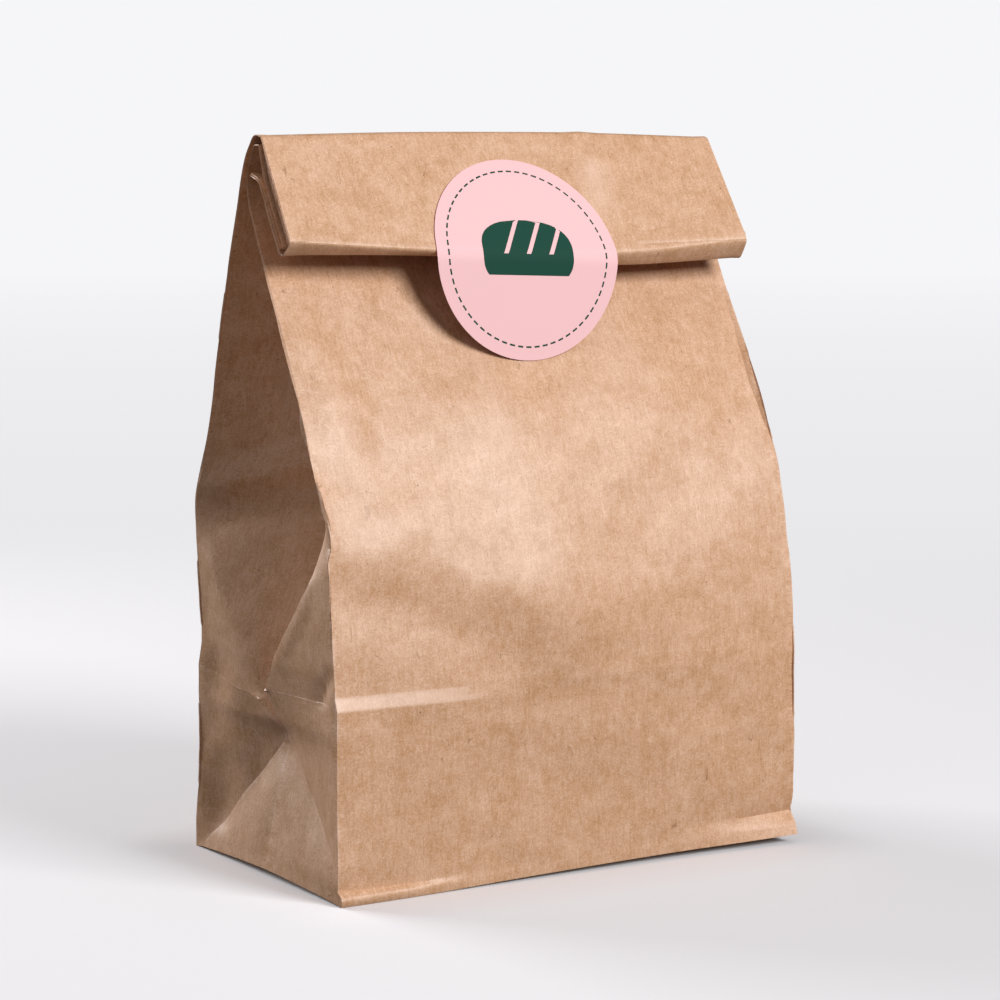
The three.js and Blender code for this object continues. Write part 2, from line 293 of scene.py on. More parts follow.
# Rings between the neck and the ridge, for the front and the back panel.
NECK_RINGS = [[(7.7, 197.4), (10.4, 197.6)], [(6.0, 200.9), (8.6, 201.3)]]
# Rings over the ridge: share of the way over it, the front panel's height there, and how far the back
# panel lies behind and above the ridge's own line.
RIDGE_RINGS = [[0, 202.9, 1.2, -1.7], [0, 203.4, 0, 0], [0.5, 203.7, 0, 0.25], [1, 204.2, 0, 0]]
RIDGE_FRONT_Y = 4.4


def roll_at(name, x):
    ys, zs = zip(*ROLL[name])
    return (float(np.interp(x, ROLL_X, ys)), float(np.interp(x, ROLL_X, zs)))


def roll_line(start, end, x, share):
    return mix(roll_at(start, x), roll_at(end, x), share)


flap_at = partial(roll_line, "ridge_front", "foot")
tuck_at = partial(roll_line, "tuck_foot", "tuck_top")
foot_at = partial(roll_line, "foot", "heel")


def inner_flap_at(x, share):
    ridge = roll_at("ridge_front", x)
    start = (ridge[0] + INNER_START[0], ridge[1] + INNER_START[1])
    paired = max((share - PAIRED_FROM) / (1 - PAIRED_FROM), 0)
    low = mix(flap_at(x, max(share, PAIRED_FROM)), tuck_at(x, 1 - paired), INNER_FLAP)
    return low if share >= PAIRED_FROM else mix(start, low, share / PAIRED_FROM)


def inner_foot_at(x, share):
    return mix(inner_flap_at(x, 1), mix(flap_at(x, 1), tuck_at(x, 0), INNER_TUCK), share)


def inner_tuck_at(x, share):
    return mix(flap_at(x, 1 - (1 - PAIRED_FROM) * share), tuck_at(x, share), INNER_TUCK)


def mouth_at(x, share):
    return mix(tuck_at(x, 1), MOUTH, share)


def inner_mouth_at(x, share):
    return mix(inner_tuck_at(x, 1), INNER_MOUTH, share)


def ridge_front_at(x, share, height):
    return mix((RIDGE_FRONT_Y, height), inner_flap_at(x, 0), share)


def ridge_back_at(x, share, behind, above):
    y, z = roll_line("ridge_back", "ridge_front", x, share)
    return (y + behind, z + above)


def roll_rings():
    """Pairs of functions of x, for the front panel and the back panel, from the neck to the mouth."""
    rings = [(lambda x, p=front: p, lambda x, p=back: p) for front, back in NECK_RINGS]
    for share, height, behind, above in RIDGE_RINGS:
        rings.append((
            partial(ridge_front_at, share=share, height=height),
            partial(ridge_back_at, share=share, behind=behind, above=above)))
    for inner, outer, shares in [
        (inner_flap_at, flap_at, [0.04, 0.2, 0.4, 0.6, 0.8, 0.95, 1.0]),
        (inner_foot_at, foot_at, [0.5, 1.0]),
        (inner_tuck_at, tuck_at, [0.0, 0.06, 0.35, 0.7, 1.0]),
        (inner_mouth_at, mouth_at, [0.5, 1.0]),
    ]:
        rings += [(partial(inner, share=share), partial(outer, share=share)) for share in shares]
    return rings


def roll_ring(front, back):
    """A ring in the roll: its gussets lie folded flat between the front and the back panel."""
    def gusset(sign):
        edges = np.array([front(sign * HALF_WIDTH), back(sign * HALF_WIDTH)])
        return [
            (sign * (HALF_WIDTH - min(place, GUSSET - place)),
             *(edges[0] + (edges[1] - edges[0]) * place / GUSSET))
            for place in neck_places
        ]
    return net_ring(front, back, gusset(1), gusset(-1))


neck_places = column_places(fold_row(1, NECK_TOP), NECK_TOP)
body = [body_ring(up) for up in BODY_LEVELS]
rolled = [roll_ring(front, back) for front, back in roll_rings()]
rings = np.array([ring for ring, places in body] + rolled)
roll_places = ring_places(neck_places, neck_places)
flat_us = np.array([places for ring, places in body] + [roll_places] * len(rolled))

# The foot is lifted off the table along parts of its edge, and no longer so from LIFT_TOP up.
FRONT_LIFT = [[-76, 0], [-45, 0.1], [-20, 0.9], [20, 1.7], [60, 2.1], [76, 2.6]]
SIDE_LIFT = [[-44, 0], [-34, 1.0], [0, 1.7], [30, 1.3], [40, 0.6], [44, 0]]
FRONT_LIFT_SHARE = [[-40, 1], [-20, 0]]  # by y
SIDE_LIFT_SHARE = [[-74, 1], [-50, 0]]  # by x
LIFT_TOP = 22


def foot_lift(x, y):
    front_lift = along(FRONT_LIFT, x) * along(FRONT_LIFT_SHARE, y)
    return max(front_lift, along(SIDE_LIFT, y) * along(SIDE_LIFT_SHARE, x))


# Below the first row the paper turns in under the bag: share of the margin, and height.
FOOT_MARGIN = 5.0
FOOT_MIDDLE = np.array([0, 0.7])
HALF_DEPTH = 44
TURNED_IN = [[1, 0.25], [0.12, 0.0]]
FOOT_ROWS = len(TURNED_IN)


def turned_in(ring, share, height):
    inner = FOOT_MIDDLE + (ring[:, :2] - FOOT_MIDDLE) * (1 - share * FOOT_MARGIN / HALF_DEPTH)
    return np.column_stack([inner, np.full(len(ring), height)])


rings = np.concatenate([[turned_in(rings[0], *row) for row in TURNED_IN], rings])
flat_us = np.concatenate([flat_us[:1], flat_us[:1], flat_us])
for row in rings:
    for point in row:
        if point[2] < LIFT_TOP:
            point[2] += foot_lift(point[0], point[1]) * (1 - point[2] / LIFT_TOP)

# The flat pattern: u runs round the sleeve, s up it from the foot. In decimetres.
DECIMETRE = 100.0
back_column = SIDE_COUNT - LAP_COLUMN + 2
steps = np.linalg.norm(np.diff(rings[FOOT_ROWS + len(BODY_LEVELS) - 1:, back_column], axis=0), axis=1)
foot_s = [-share * FOOT_MARGIN for share, height in TURNED_IN]
ring_s = np.concatenate([foot_s, BODY_LEVELS, NECK_TOP + np.cumsum(steps)])


def sheet_mesh(name, net, us, ss):
    """A closed strip of quads through rings of points, with the flat pattern as its UV map."""
    rows, columns = net.shape[:2]
    faces = []
    uvs = []
    for row in range(rows - 1):
        for column in range(columns):
            following = (column + 1) % columns
            faces.append((
                row * columns + column, row * columns + following,
                (row + 1) * columns + following, (row + 1) * columns + column,
            ))
            low, high = ss[row], ss[row + 1]
            uvs += [(us[row][column], low), (us[row][column + 1], low),
                    (us[row + 1][column + 1], high), (us[row + 1][column], high)]
    mesh = bpy.data.meshes.new(name)
    mesh.from_pydata([tuple(point * MM) for point in net.reshape(-1, 3)], [], faces)
    layer = mesh.uv_layers.new(name="flat_pattern")
    layer.data.foreach_set("uv", (np.array(uvs) / DECIMETRE).astype(np.float32).ravel())
    mesh.validate()
    return mesh


def put_in_scene(mesh):
    piece = bpy.data.objects.new(mesh.name, mesh)
    bpy.context.scene.collection.objects.link(piece)
    return piece


def apply_modifiers(piece):
    """Gives the piece a plain mesh, with its modifiers applied."""
    evaluated = piece.evaluated_get(bpy.context.evaluated_depsgraph_get())
    mesh = bpy.data.meshes.new_from_object(evaluated)
    piece.modifiers.clear()
    old = piece.data
    piece.data = mesh
    mesh.name = old.name
    bpy.data.meshes.remove(old)


def give_thickness(piece, thickness, offset):
    wall = piece.modifiers.new("thickness", "SOLIDIFY")
    wall.thickness = thickness * MM
    wall.offset = offset
    apply_modifiers(piece)


def smooth_but(piece, degrees):
    """Shades the piece smooth, but for edges that turn by more than this."""
    piece.data.shade_smooth()
    piece.data.set_sharp_from_angle(angle=math.radians(degrees))


def crisp_folds(mesh, lines):
    """Marks edges of the net as folds that the smoothing keeps sharp: (weight, list of (row, column))."""
    places = {tuple(sorted(edge.vertices)): edge.index for edge in mesh.edges}
    crease = mesh.attributes.new("crease_edge", "FLOAT", "EDGE")
    for weight, line in lines:
        for (row, column), (next_row, next_column) in zip(line, line[1:]):
            ends = sorted((row * columns + column % columns, next_row * columns + next_column % columns))
            crease.data[places[tuple(ends)]].value = weight


def body_row(up):
    return FOOT_ROWS + BODY_LEVELS.index(up)


LEFT_FIRST = SIDE_COUNT - LAP_COLUMN + len(BACK_X)  # the net's column at the back end of the left side
FRONT_FIRST = LEFT_FIRST + SIDE_COUNT
FRONT_FOLD_COLUMN, MIDDLE_FOLD_COLUMN, BACK_FOLD_COLUMN = 3, 6, 9  # of a side, from its front edge
columns = rings.shape[1]


def fold_lines():
    """Rows and columns of the net that are creases in the paper."""
    apex, crease, last_row = body_row(APEX), body_row(CREASE), len(rings) - 2
    lines = []
    for left in (True, False):
        def at(index):
            return LEFT_FIRST + SIDE_COUNT - 1 - index if left else columns - LAP_COLUMN + index
        for weight, column, first, last in [
            (1, FRONT_FOLD_COLUMN, body_row(10), body_row(90)),
            (1, BACK_FOLD_COLUMN, FOOT_ROWS, crease),
            (0.7, MIDDLE_FOLD_COLUMN, FOOT_ROWS, apex),
            (1, MIDDLE_FOLD_COLUMN, apex, last_row),
            (1, -1, FOOT_ROWS, last_row),
            (1, SIDE_COUNT, FOOT_ROWS, last_row),
        ]:
            lines.append((weight, [(row, at(column)) for row in range(first, last + 1)]))
        for first, last in [(-1, FRONT_FOLD_COLUMN + 1), (BACK_FOLD_COLUMN - 1, SIDE_COUNT)]:
            lines.append((1, [(crease, at(column)) for column in range(first, last + 1)]))
    for weight, row, first, last in [
        (0.9, body_row(BAND_FOOT), 0, 6), (0.9, body_row(BAND_TOP), 0, 6),
        (0.8, body_row(3.7), -1, 4), (0.7, body_row(7.5), 11, 15),
        (0.9, FOOT_ROWS, -FRONT_FIRST, columns - FRONT_FIRST),
    ]:
        lines.append((weight, [(row, FRONT_FIRST + column) for column in range(first, last + 1)]))
    return lines


sleeve = put_in_scene(sheet_mesh("paper_sleeve", rings, flat_us, ring_s))
crisp_folds(sleeve.data, fold_lines())
smoothing = sleeve.modifiers.new("smoothing", "SUBSURF")
smoothing.levels = smoothing.render_levels = 2
smoothing.boundary_smooth = "PRESERVE_CORNERS"
smoothing.uv_smooth = "NONE"
apply_modifiers(sleeve)


def read(items, name, width=1, kind=np.float32):
    """A mesh's own values as an array."""
    values = np.empty(len(items) * width, kind)
    items.foreach_get(name, values)
    return values.reshape(-1, width) if width > 1 else values


def add_attribute(mesh, name, values):
    attribute = mesh.attributes.new(name, "FLOAT", "POINT")
    attribute.data.foreach_set("value", np.asarray(values, np.float32))


def flat_coordinates(mesh):
    """Each vertex's place on the flat pattern, in millimetres."""
    corners = read(mesh.loops, "vertex_index", 1, np.int32)
    flat = np.zeros((len(mesh.vertices), 2))
    flat[corners[::-1]] = read(mesh.uv_layers[0].data, "uv", 2)[::-1] * DECIMETRE
    return flat


def rough_field(flat, width, seed, octaves):
    return np.array([
        noise.fractal(Vector((u, s, seed)), 1.0, 2.0, octaves, noise_basis="PERLIN_ORIGINAL")
        for u, s in flat / width
    ])


def distance_to(places, start, end):
    """How far points in a plane lie from a line between two of its points."""
    start, end = np.array(start, float), np.array(end, float)
    way = end - start
    share = np.clip((places - start) @ way / (way @ way), 0, 1)
    return np.linalg.norm(places - start - share[:, None] * way, axis=1)


def dent(places, start, end, half, depth):
    """A smooth ridge (or, with a negative depth, a hollow) along a line, gone past its half width."""
    t = np.clip(1 - distance_to(places, start, end) / half, 0, 1)
    return depth * t * t * (3 - 2 * t)


mesh = sleeve.data
points = read(mesh.vertices, "co", 3) / MM
normals = read(mesh.vertex_normals, "vector", 3)
flat = flat_coordinates(mesh)
round_bag, up_bag = flat[:, 0], flat[:, 1]
EDGE = 0.3  # a side and the back stop this far from their edges, and the front goes on past its own
on_left = (round_bag > LEFT_START + EDGE) & (round_bag < FRONT_START - EDGE)
on_back = (round_bag > EDGE) & (round_bag < LEFT_START - EDGE)
on_front = (round_bag >= FRONT_START - EDGE) & (round_bag <= RIGHT_START + EDGE)
# Dents fade out towards the foot and the neck.
in_body = np.interp(up_bag, [0, 8, NECK_TOP - 29, NECK_TOP - 4], [0, 1, 1, 0])
# The paper's own unevenness: height, width, seed and octaves.
CRUMPLES = [[0.55, 46, 3.1, 2], [0.28, 15, 8.4, 3]]
push = in_body * sum(height * rough_field(flat, *rest) for height, *rest in CRUMPLES)

# Soft ridges and hollows of the front, as (x, z) to (x, z), half width and height.
FRONT_RELIEF = [
    [(-30, 146), (-68, 106), 17, -1.1],
    [(-70, 150), (-62, 118), 12, 0.7],
    [(-12, 128), (-6, 88), 22, 0.9],
    [(-70, 84), (-22, 66), 16, -0.8],
    [(30, 96), (70, 132), 20, -0.8],
    [(40, 30), (60, 14), 18, 0.5],
    [(-20, 30), (10, 20), 20, -0.5],
    [(-26, 12), (-26, 3), 5, -0.7],
]
# Those of the back, where it was handled and set down.
BACK_RELIEF = [
    [(-60, 150), (20, 118), 24, 0.8],
    [(64, 128), (22, 96), 16, -0.8],
    [(-64, 96), (-20, 74), 18, 0.7],
    [(50, 40), (66, 12), 16, 0.6],
    [(-84, CREASE), (84, CREASE), 4, 0.5],
]
# Those of the left side, as (y, z) to (y, z). A height above 0 stands out from the bag.
LEFT_RELIEF = [
    [(33, 107), (-22, 127), 8, 2.0],
    [(33, 99), (-10, 114), 9, -1.2],
    [(33, 15), (29, 24), 11, -1.8],
    [(22, 48), (28, 24), 13, 1.1],
    [(-38, 62), (-31, 55), 4.5, -0.9],
    [(-24, 80), (-8, 62), 5, 0.5],
    [(10, 8), (4, 30), 8, 0.35],
]
# Creases of both sides that lie in a shallow valley, as (place on the paper, up it) at both ends, half
# width and depth.
VALLEYS = [
    [(0, CREASE), (43, CREASE), 8, -1.4],
    [(57, CREASE), (GUSSET, CREASE), 9, -1.3],
    [(3, 9), (42, 37), 9, -0.8],
    [(86, 2), (49, 37), 9, -0.7],
]


def side_place(place, up, left):
    return (FRONT_START - place if left else RIGHT_START + place, up)


def valley(places, start, end, half, depth):
    """A V-shaped hollow along a line, gone past its half width."""
    return depth * np.clip(1 - distance_to(places, start, end) / half, 0, 1)


# The right gusset is cut in two by the pattern's edge; here its far part is joined on again.
joined = flat.copy()
joined[round_bag < -0.01, 0] += RIGHT_START + GUSSET
for start, end, half, depth in VALLEYS:
    for left in (True, False):
        place = FRONT_START - joined[:, 0] if left else joined[:, 0] - RIGHT_START
        taper = np.interp(place, [0, 12, GUSSET - 10, GUSSET], [0, 1, 1, 0])
        ends = side_place(*start, left), side_place(*end, left)
        push += in_body * taper * valley(joined, *ends, half, depth)
FROM_FRONT, FROM_SIDE = [0, 2], [1, 2]  # the two directions seen from there
for relief, panel, seen in [
    (FRONT_RELIEF, on_front, FROM_FRONT), (BACK_RELIEF, on_back, FROM_FRONT),
    (LEFT_RELIEF, on_left, FROM_SIDE),
]:
    for ridge in relief:
        push += panel * in_body * dent(points[:, seen], *ridge)
points += normals * push[:, None]

# The corner of the front at the left of the shoulder is knocked in.
CORNER_KNOCK = [(-38, 97.5), (-38, 104), 5, 1.5]
points[:, 0] += dent(points[:, FROM_SIDE], *CORNER_KNOCK) * (points[:, 0] < 4 - HALF_WIDTH)
# The gusset's fold shows through the flap as a soft ridge, and the flap is pinched beside it.
FLAP_RELIEF = [
    [(29, 208), (33, 176), 3.2, 0.45], [(62, 188), (66, 178), 3.0, 0.4], [(36, 182), (44, 176), 4, -0.4],
]
on_flap = (round_bag > 0) & (round_bag < LEFT_START) & (points[:, 1] > -19) & (points[:, 1] < 4)
on_flap &= (up_bag > NECK_TOP + 14) & (up_bag < NECK_TOP + 58)
for ridge in FLAP_RELIEF:
    points += normals * (on_flap * dent(points[:, FROM_FRONT], *ridge))[:, None]
points[:, 2] = np.maximum(points[:, 2], 0)
mesh.vertices.foreach_set("co", (points * MM).astype(np.float32).ravel())


def worn_lines():
    """Folds whose ridge is rubbed light, on the flat pattern."""
    lines = []
    for left in (True, False):
        folds = [
            FRONT_FOLD[:4], BACK_FOLD[:4], [FRONT_FOLD[3], [92, 7]], [[CREASE, 0], FRONT_FOLD[3]],
            [BACK_FOLD[3], [CREASE, GUSSET]], [[2, HALF_GUSSET], [38, HALF_GUSSET]],
        ]
        for fold in folds:
            for ends in zip(fold, fold[1:]):
                lines.append([side_place(place, up, left) for up, place, *rest in ends])
    lines.append(((0, CREASE), (LEFT_START, CREASE)))
    for edge in (0, LEFT_START, FRONT_START, RIGHT_START):
        lines.append(((edge, 2), (edge, ring_s[-1])))
    return lines


CLEAR_OF_FOLDS = 50.0
worn = np.full(len(flat), CLEAR_OF_FOLDS)
for start, end in worn_lines():
    for pattern in (flat, joined):
        worn = np.minimum(worn, distance_to(pattern, start, end))
add_attribute(mesh, "fold_distance", worn)
# The pre-folded crease is painted paler over its whole width on the left half of the front: rubbed wear and
# a painted highlight.
BAND_END, BAND_SLANT = -36, 1.1
band_end = BAND_END + BAND_SLANT * (BAND_TOP - up_bag)
band = (up_bag > BAND_FOOT - 0.1) & (up_bag < BAND_TOP + 0.1) & on_front & (points[:, 0] < band_end)
wear_and_painted_sheen = band.astype(float)
# Painted highlight: paler patches of painted sheen, as (x, z) to (x, z), half width and share of full
# paleness.
PAINTED_SHEEN_FLAP = [
    [(26, 206), (30, 196), 2.6, 0.8], [(30, 196), (33, 184), 4.5, 0.9], [(68, 196), (76, 185), 1.3, 0.8],
]
PAINTED_SHEEN_FRONT = [
    [(-16, 141), (-17, 124), 9, 0.35], [(26, 150), (36, 138), 9, 0.35], [(12, 134), (30, 140), 8, 0.3],
]
# Painted highlights on the flap and the front, where the paper's sheen catches the key light.
for patches, panel in [(PAINTED_SHEEN_FLAP, on_flap), (PAINTED_SHEEN_FRONT, on_front)]:
    for patch in patches:
        wear_and_painted_sheen = np.maximum(wear_and_painted_sheen, panel * dent(points[:, FROM_FRONT], *patch))
add_attribute(mesh, "paler_wear_and_sheen", wear_and_painted_sheen)
mesh.update()

give_thickness(sleeve, PAPER, -1)
smooth_but(sleeve, 13)
ON_FOLD = 0.06  # a vertex this near a fold is on it


def sharpen_folds(mesh):
    """Marks the creases themselves as sharp, however flat the paper lies across them."""
    distance = read(mesh.attributes["fold_distance"].data, "value")
    on_fold = (distance[read(mesh.edges, "vertices", 2, np.int32)] < ON_FOLD).all(axis=1)
    sharp = mesh.attributes["sharp_edge"].data
    sharp.foreach_set("value", read(sharp, "value", 1, bool) | on_fold)


sharpen_folds(sleeve.data)


def linear(colour):
    """An sRGB hex colour as linear light."""
    channels = [int(colour[i:i + 2], 16) / 255 for i in (1, 3, 5)]
    light = [c / 12.92 if c <= 0.04045 else ((c + 0.055) / 1.055) ** 2.4 for c in channels]
    return (*light, 1)


def add_node(nodes, kind, links=(), **settings):
    """Adds a node with its settings, and links sockets, or first outputs of nodes, to its inputs. A
    shader node's kind is given without ShaderNode."""
    node = nodes.new(kind if "Node" in kind else "ShaderNode" + kind)
    for name, value in settings.items():
        if name.startswith("in_"):
            node.inputs[int(name[3:]) if name[3:].isdigit() else name[3:]].default_value = value
        else:
            setattr(node, name, value)
    for source, target in links:
        socket = source.outputs[0] if isinstance(source, bpy.types.Node) else source
        nodes.id_data.links.new(socket, node.inputs[target])
    return node


def new_material(name):
    """An empty material, and the function that adds its nodes."""
    material = bpy.data.materials.new(name)
    material.use_nodes = True
    material.node_tree.nodes.clear()
    return material, partial(add_node, material.node_tree.nodes)


def swing(add, noise):
    """How far a noise is above its middle value."""
    return add("Math", [(noise, 0)], operation="SUBTRACT", in_1=0.5)


def from_middle(add, noise):
    """How far a noise is from its middle value, up or down. Near 0 it draws thin level lines."""
    return add("Math", [(swing(add, noise), 0)], operation="ABSOLUTE")


def kraft_paper():
    """Unbleached kraft paper, machine-calendered: cloudy formation, short fibres and a dull sheen."""
    material, add = new_material("kraft_paper_calendered")
    on_paper = [(add("UVMap", uv_map="flat_pattern"), "Vector")]
    # Formation: the web's clouds, from 10 mm down to single fibres.
    clouds = add("TexNoise", on_paper, in_Scale=DECIMETRE / 10, in_Detail=5.5, in_Roughness=0.9)
    # Fibres lie mostly along the web, so the finest grain, 0.7 mm wide, is drawn out up the bag.
    drawn_out = add("Mapping", on_paper, in_Scale=(1, 0.16, 1))
    grain = add("TexNoise", [(drawn_out, "Vector")],
                in_Scale=DECIMETRE / 0.7, in_Detail=2.0, in_Roughness=0.6, in_Distortion=0.9)
    speckle = add("TexNoise", on_paper, in_Scale=DECIMETRE / 0.5, in_Detail=1.0)
    # Pale curled fibres: thin level lines of a 2.4 mm noise.
    curls = add("TexNoise", on_paper,
                in_Scale=DECIMETRE / 2.4, in_Detail=2.0, in_Roughness=0.4, in_Distortion=0.8)
    pale = add("MapRange", [(from_middle(add, curls), 0)], in_1=0.0, in_2=0.035, in_3=0.75, in_4=0.45)
    tone = add("Value")
    tone.outputs[0].default_value = 0.5
    for layer, weight in [(clouds, 1.3), (grain, 0.56), (speckle, 0.72), (pale, 0.5)]:
        tone = add("Math", [(swing(add, layer), 0), (tone, 2)], operation="MULTIPLY_ADD", in_1=weight)
    tones = add("ValToRGB", [(tone, "Fac")])
    for stop, place, colour in zip(tones.color_ramp.elements, (0.2, 0.8), ("#BC8B61", "#E1B799")):
        stop.position = place
        stop.color = linear(colour)
    # Dark curled fibres: thin level lines of a stretched noise, kept only in scattered patches.
    stretched = add("Mapping", on_paper, in_Scale=(1, 0.34, 1))
    contour = add("TexNoise", [(stretched, "Vector")],
                  in_Scale=DECIMETRE / 4.5, in_Detail=1.0, in_Distortion=0.6)
    hair = add("MapRange", [(from_middle(add, contour), 0)], in_1=0.0012, in_2=0.0065, in_3=0.6, in_4=0)
    patches = add("TexNoise", on_paper,
                  in_Scale=DECIMETRE / 5, in_Detail=1.0, noise_dimensions="4D", in_W=2.0)
    kept = add("MapRange", [(patches, 0)], in_1=0.57, in_2=0.63)
    fibre = add("Math", [(hair, 0), (kept, 1)], operation="MULTIPLY")
    with_fibres = add("Mix", [(fibre, 0), (tones, 6)], data_type="RGBA", in_7=linear("#8F6238"))
    # Bark specks: one in every second cell of 6 mm, a third of a millimetre across.
    cells = add("TexVoronoi", on_paper, in_Scale=DECIMETRE / 6)
    near = add("MapRange", [(cells.outputs["Distance"], 0)], in_1=0.018, in_2=0.045, in_3=1, in_4=0)
    draw = add("SeparateColor", [(cells.outputs["Color"], 0)])
    chosen = add("Math", [(draw, 0)], operation="GREATER_THAN", in_1=0.5)
    speck = add("Math", [(near, 0), (chosen, 1)], operation="MULTIPLY")
    with_specks = add("Mix", [(speck, 0), (with_fibres.outputs[2], 6)],
                      data_type="RGBA", in_7=linear("#6E4524"))
    # Folds are rubbed light along their ridge, unevenly. The crease band and some patches are painted
    # paler: painted highlights, with wear in the band.
    distance = add("Attribute", attribute_name="fold_distance")
    ridge = add("MapRange", [(distance.outputs["Fac"], 0)],
                in_1=0.05, in_2=0.5, in_3=0.42, in_4=0, interpolation_type="SMOOTHSTEP")
    uneven = add("MapRange", [(clouds, 0)], in_1=0.35, in_2=0.6)
    folds = add("Math", [(ridge, 0), (uneven, 1)], operation="MULTIPLY")
    patch = add("Attribute", attribute_name="paler_wear_and_sheen")
    fold_wear_and_sheen = add("Math", [(patch.outputs["Fac"], 0), (folds, 2)], operation="MULTIPLY_ADD", in_1=0.4)
    colour = add("Mix", [(fold_wear_and_sheen, 0), (with_specks.outputs[2], 6)], data_type="RGBA", in_7=linear("#F3D1BD"))
    # Relief: the fibres, 0.06 mm high, over a cockle 7 mm wide.
    fine = add("Bump", [(tone, "Height")], in_Strength=0.5, in_Distance=0.00006)
    cockle = add("TexNoise", on_paper, in_Scale=DECIMETRE / 7, in_Detail=2.0)
    relief = add("Bump", [(cockle, "Height"), (fine, "Normal")], in_Strength=0.5, in_Distance=0.0003)
    surface = add("BsdfPrincipled",
                  [(colour.outputs[2], "Base Color"), (relief, "Normal")], in_Roughness=0.42)
    add("OutputMaterial", [(surface, "Surface")])
    return material


KRAFT = kraft_paper()
sleeve.data.materials.append(KRAFT)
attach(sleeve, "root")
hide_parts("paper_bag")


# ---- The glued lap ----
# The web's free edge, 12 mm wide, laps over the other one down the right gusset, where it is glued.
# It is a strip of the same paper, laid on the finished sleeve.

LAP_FROM = 62.0  # on the paper, from the side's front edge
LAP_WIDTH = 12.0
LAP_STEPS = 6  # across it
LAP_LEVELS = [1 + 4 * i for i in range(47)]
LAP_PAPER = 0.14
LAP_LIFT = 0.04
LAP_SEARCH = 1.5  # far enough out to find the paper's outside, not its inside


def grid_faces(rows, across, first=0):
    """Quads over a grid of points laid out row by row, starting at a point's number."""
    corners = [first + row * (across + 1) + step for row in range(rows) for step in range(across)]
    return [(c, c + 1, c + across + 2, c + across + 1) for c in corners]


def sheet_of_paper(name, vertices, faces, flat_places):
    """A mesh with the flat pattern as its UV map, given as each vertex's place in millimetres."""
    sheet = bpy.data.meshes.new(name)
    sheet.from_pydata(vertices, [], faces)
    corners = read(sheet.loops, "vertex_index", 1, np.int32)
    layer = sheet.uv_layers.new(name="flat_pattern")
    layer.data.foreach_set("uv", (np.array(flat_places) / DECIMETRE).astype(np.float32)[corners].ravel())
    add_attribute(sheet, "fold_distance", np.full(len(vertices), CLEAR_OF_FOLDS))
    return sheet


def lap_point(place, up):
    """A point just outside the sleeve's paper, nearest to a place on the folded side."""
    depth, y, z = on_row(row_table(1, up), place)
    nearest = sleeve.closest_point_on_mesh(Vector((HALF_WIDTH - depth, y, z)) * MM)
    outward = nearest[2] if nearest[2].x > 0 else -nearest[2]
    outside = sleeve.closest_point_on_mesh(nearest[1] + outward * LAP_SEARCH * MM)
    return outside[1] + outside[2] * LAP_LIFT * MM


lap_places = [
    (LAP_FROM + LAP_WIDTH * step / LAP_STEPS, up) for up in LAP_LEVELS for step in range(LAP_STEPS + 1)]
lap_points = [lap_point(place, up) for place, up in lap_places]
lap = put_in_scene(sheet_of_paper(
    "glued_lap", lap_points, grid_faces(len(LAP_LEVELS) - 1, LAP_STEPS),
    [(RIGHT_START + place, up) for place, up in lap_places]))
give_thickness(lap, LAP_PAPER, 1)
smooth_but(lap, 30)
lap.data.materials.append(KRAFT)
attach(lap, "root")


# ---- The gusset's layers in the roll ----
# At both ends of the roll the folded gusset shows as thin layers of paper between the flap's outside and
# its inside. They are the same sheet's inner folds, so each is one thickness of the same kraft paper.

LAYER_SHARES = (0.3, 0.5, 0.7)  # between the flap's outside and its inside
LAYER_REACH = 12.0
LAYER_START, LAYER_LENGTH, LAYER_STAGGER = 0.05, 0.9, 0.04  # in shares of the flap's length
LAYER_ROWS, LAYER_STEPS = 14, 3
LAYER_PAPER = 0.14
LAYER_INSET = 0.3
LAYER_PLACE = 600  # past the sleeve on the flat pattern


def layers_mesh(name, sign):
    vertices = []
    faces = []
    for share in LAYER_SHARES:
        faces += grid_faces(LAYER_ROWS, LAYER_STEPS, len(vertices))
        for row in range(LAYER_ROWS + 1):
            down_flap = LAYER_START + (LAYER_LENGTH + LAYER_STAGGER * share) * row / LAYER_ROWS
            for step in range(LAYER_STEPS + 1):
                x = sign * (HALF_WIDTH - LAYER_INSET - share - LAYER_REACH * step / LAYER_STEPS)
                y, z = mix(flap_at(x, down_flap), inner_flap_at(x, down_flap), share)
                vertices.append(Vector((x, y, z)) * MM)
    flat_places = [(v.x / MM + LAYER_PLACE, v.z / MM) for v in vertices]
    return sheet_of_paper(name, vertices, faces, flat_places)


for sign, name in [(-1, "left_roll_layers"), (1, "right_roll_layers")]:
    layers = put_in_scene(layers_mesh(name, sign))
    give_thickness(layers, LAYER_PAPER, 0)
    layers.data.materials.append(KRAFT)
    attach(layers, "root")


# ---- The pasted bottom ----
# Folded as a block bottom is: two side flaps turned in, then the back flap, then the front flap pasted
# over both. Each is one layer of the same paper, and they follow the lift of the foot.

BOTTOM_INSET = 0.6
BOTTOM_FRONT = -42.3
BOTTOM_BACK = 43.7
SIDE_FLAP_REACH = 44
FLAP_SLANT = 10  # how much narrower the front and the back flap are at their free edge, on each side
BOTTOM_ROWS, BOTTOM_STEPS = 12, 24
BOTTOM_PAPER = 0.16
BOTTOM_HEIGHT = 0.4
BOTTOM_PLACE = 400  # past the sleeve's back on the flat pattern
FLAP_GAP = 0.22  # from one layer to the next


